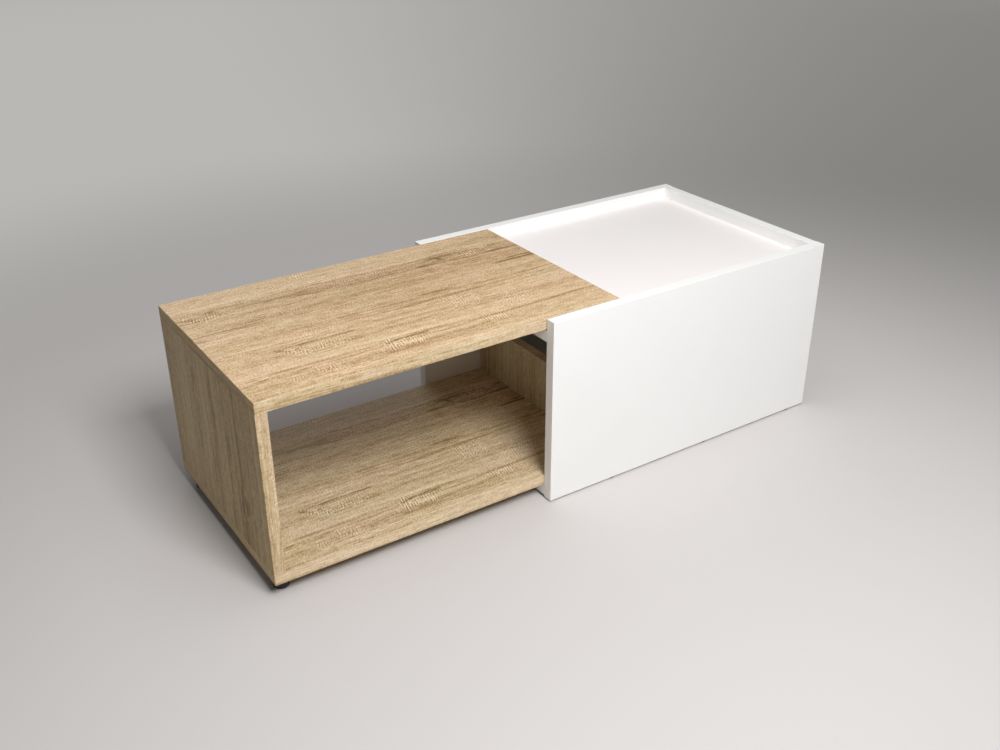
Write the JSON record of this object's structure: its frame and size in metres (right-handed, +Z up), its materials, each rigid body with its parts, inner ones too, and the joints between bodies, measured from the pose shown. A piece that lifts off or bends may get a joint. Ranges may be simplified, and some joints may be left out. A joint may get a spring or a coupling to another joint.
{
  "type": "sliding coffee table",
  "caption": "Low coffee table: an open oak-faced shelf unit on round feet, and a white sleeve with a shallow tray top that slides over it to shorten or lengthen the table.",
  "frame": {"origin": "on the floor, in the middle of the footprint of the open table", "axes": "+X from the oak unit to the sleeve, along the slide; +Y from front to back; +Z up"},
  "size_m": [1.069, 0.422, 0.325],
  "materials": {
    "oak_decor_board": "satin oak decor on chipboard, grain along the length",
    "oak_decor_edging": "satin oak decor edge strip",
    "white_board": "satin white melamine on chipboard",
    "white_edging": "satin white edge strip",
    "beech_dowel": "fluted beech, raw",
    "zinc_cam": "plain die-cast zinc",
    "plated_steel": "zinc-plated steel",
    "oak_cap": "matt plastic in an oak colour",
    "black_foot": "matt black plastic",
    "glide_plastic": "smooth dark plastic",
    "grey_felt": "pressed wool felt",
    "clear_bumper": "soft translucent rubber"
  },
  "bodies": {
    "oak_unit": {"oak_top": "oak_decor_board", "oak_bottom": "oak_decor_board", "oak_left_end": "oak_decor_board", "oak_upstand": "oak_decor_board", "oak_top_edging": "oak_decor_edging", "oak_bottom_edging": "oak_decor_edging", "oak_left_end_edging": "oak_decor_edging", "oak_upstand_edging": "oak_decor_edging", "left_end_dowels": "beech_dowel", "left_end_cam_bolts": "plated_steel", "left_end_cams": "zinc_cam", "left_end_cam_caps": "oak_cap", "upstand_dowels": "beech_dowel", "upstand_screws": "plated_steel", "foot_front_left": "black_foot", "foot_front_right": "black_foot", "foot_back_left": "black_foot", "foot_back_right": "black_foot", "foot_screws": "plated_steel", "top_glide_pads": "grey_felt", "closing_bumpers": "clear_bumper"},
    "sleeve": {"sleeve_front": "white_board", "sleeve_back": "white_board", "sleeve_end": "white_board", "tray_floor": "white_board", "cross_rail": "white_board", "sleeve_front_edging": "white_edging", "sleeve_back_edging": "white_edging", "sleeve_end_edging": "white_edging", "tray_floor_edging": "white_edging", "cross_rail_edging": "white_edging", "sleeve_end_dowels": "beech_dowel", "sleeve_end_cam_bolts": "plated_steel", "sleeve_end_cams": "zinc_cam", "tray_dowels": "beech_dowel", "tray_cam_bolts": "plated_steel", "tray_cams": "zinc_cam", "rail_dowels": "beech_dowel", "rail_cam_bolts": "plated_steel", "rail_cams": "zinc_cam", "sleeve_glides": "glide_plastic", "sleeve_glide_nails": "plated_steel"}
  },
  "joints": [
    {"name": "sleeve_slide", "type": "slide", "parent": "oak_unit", "child": "sleeve", "axis": [1, 0, 0], "range_m": [-0.4305, 0]}
  ]
}
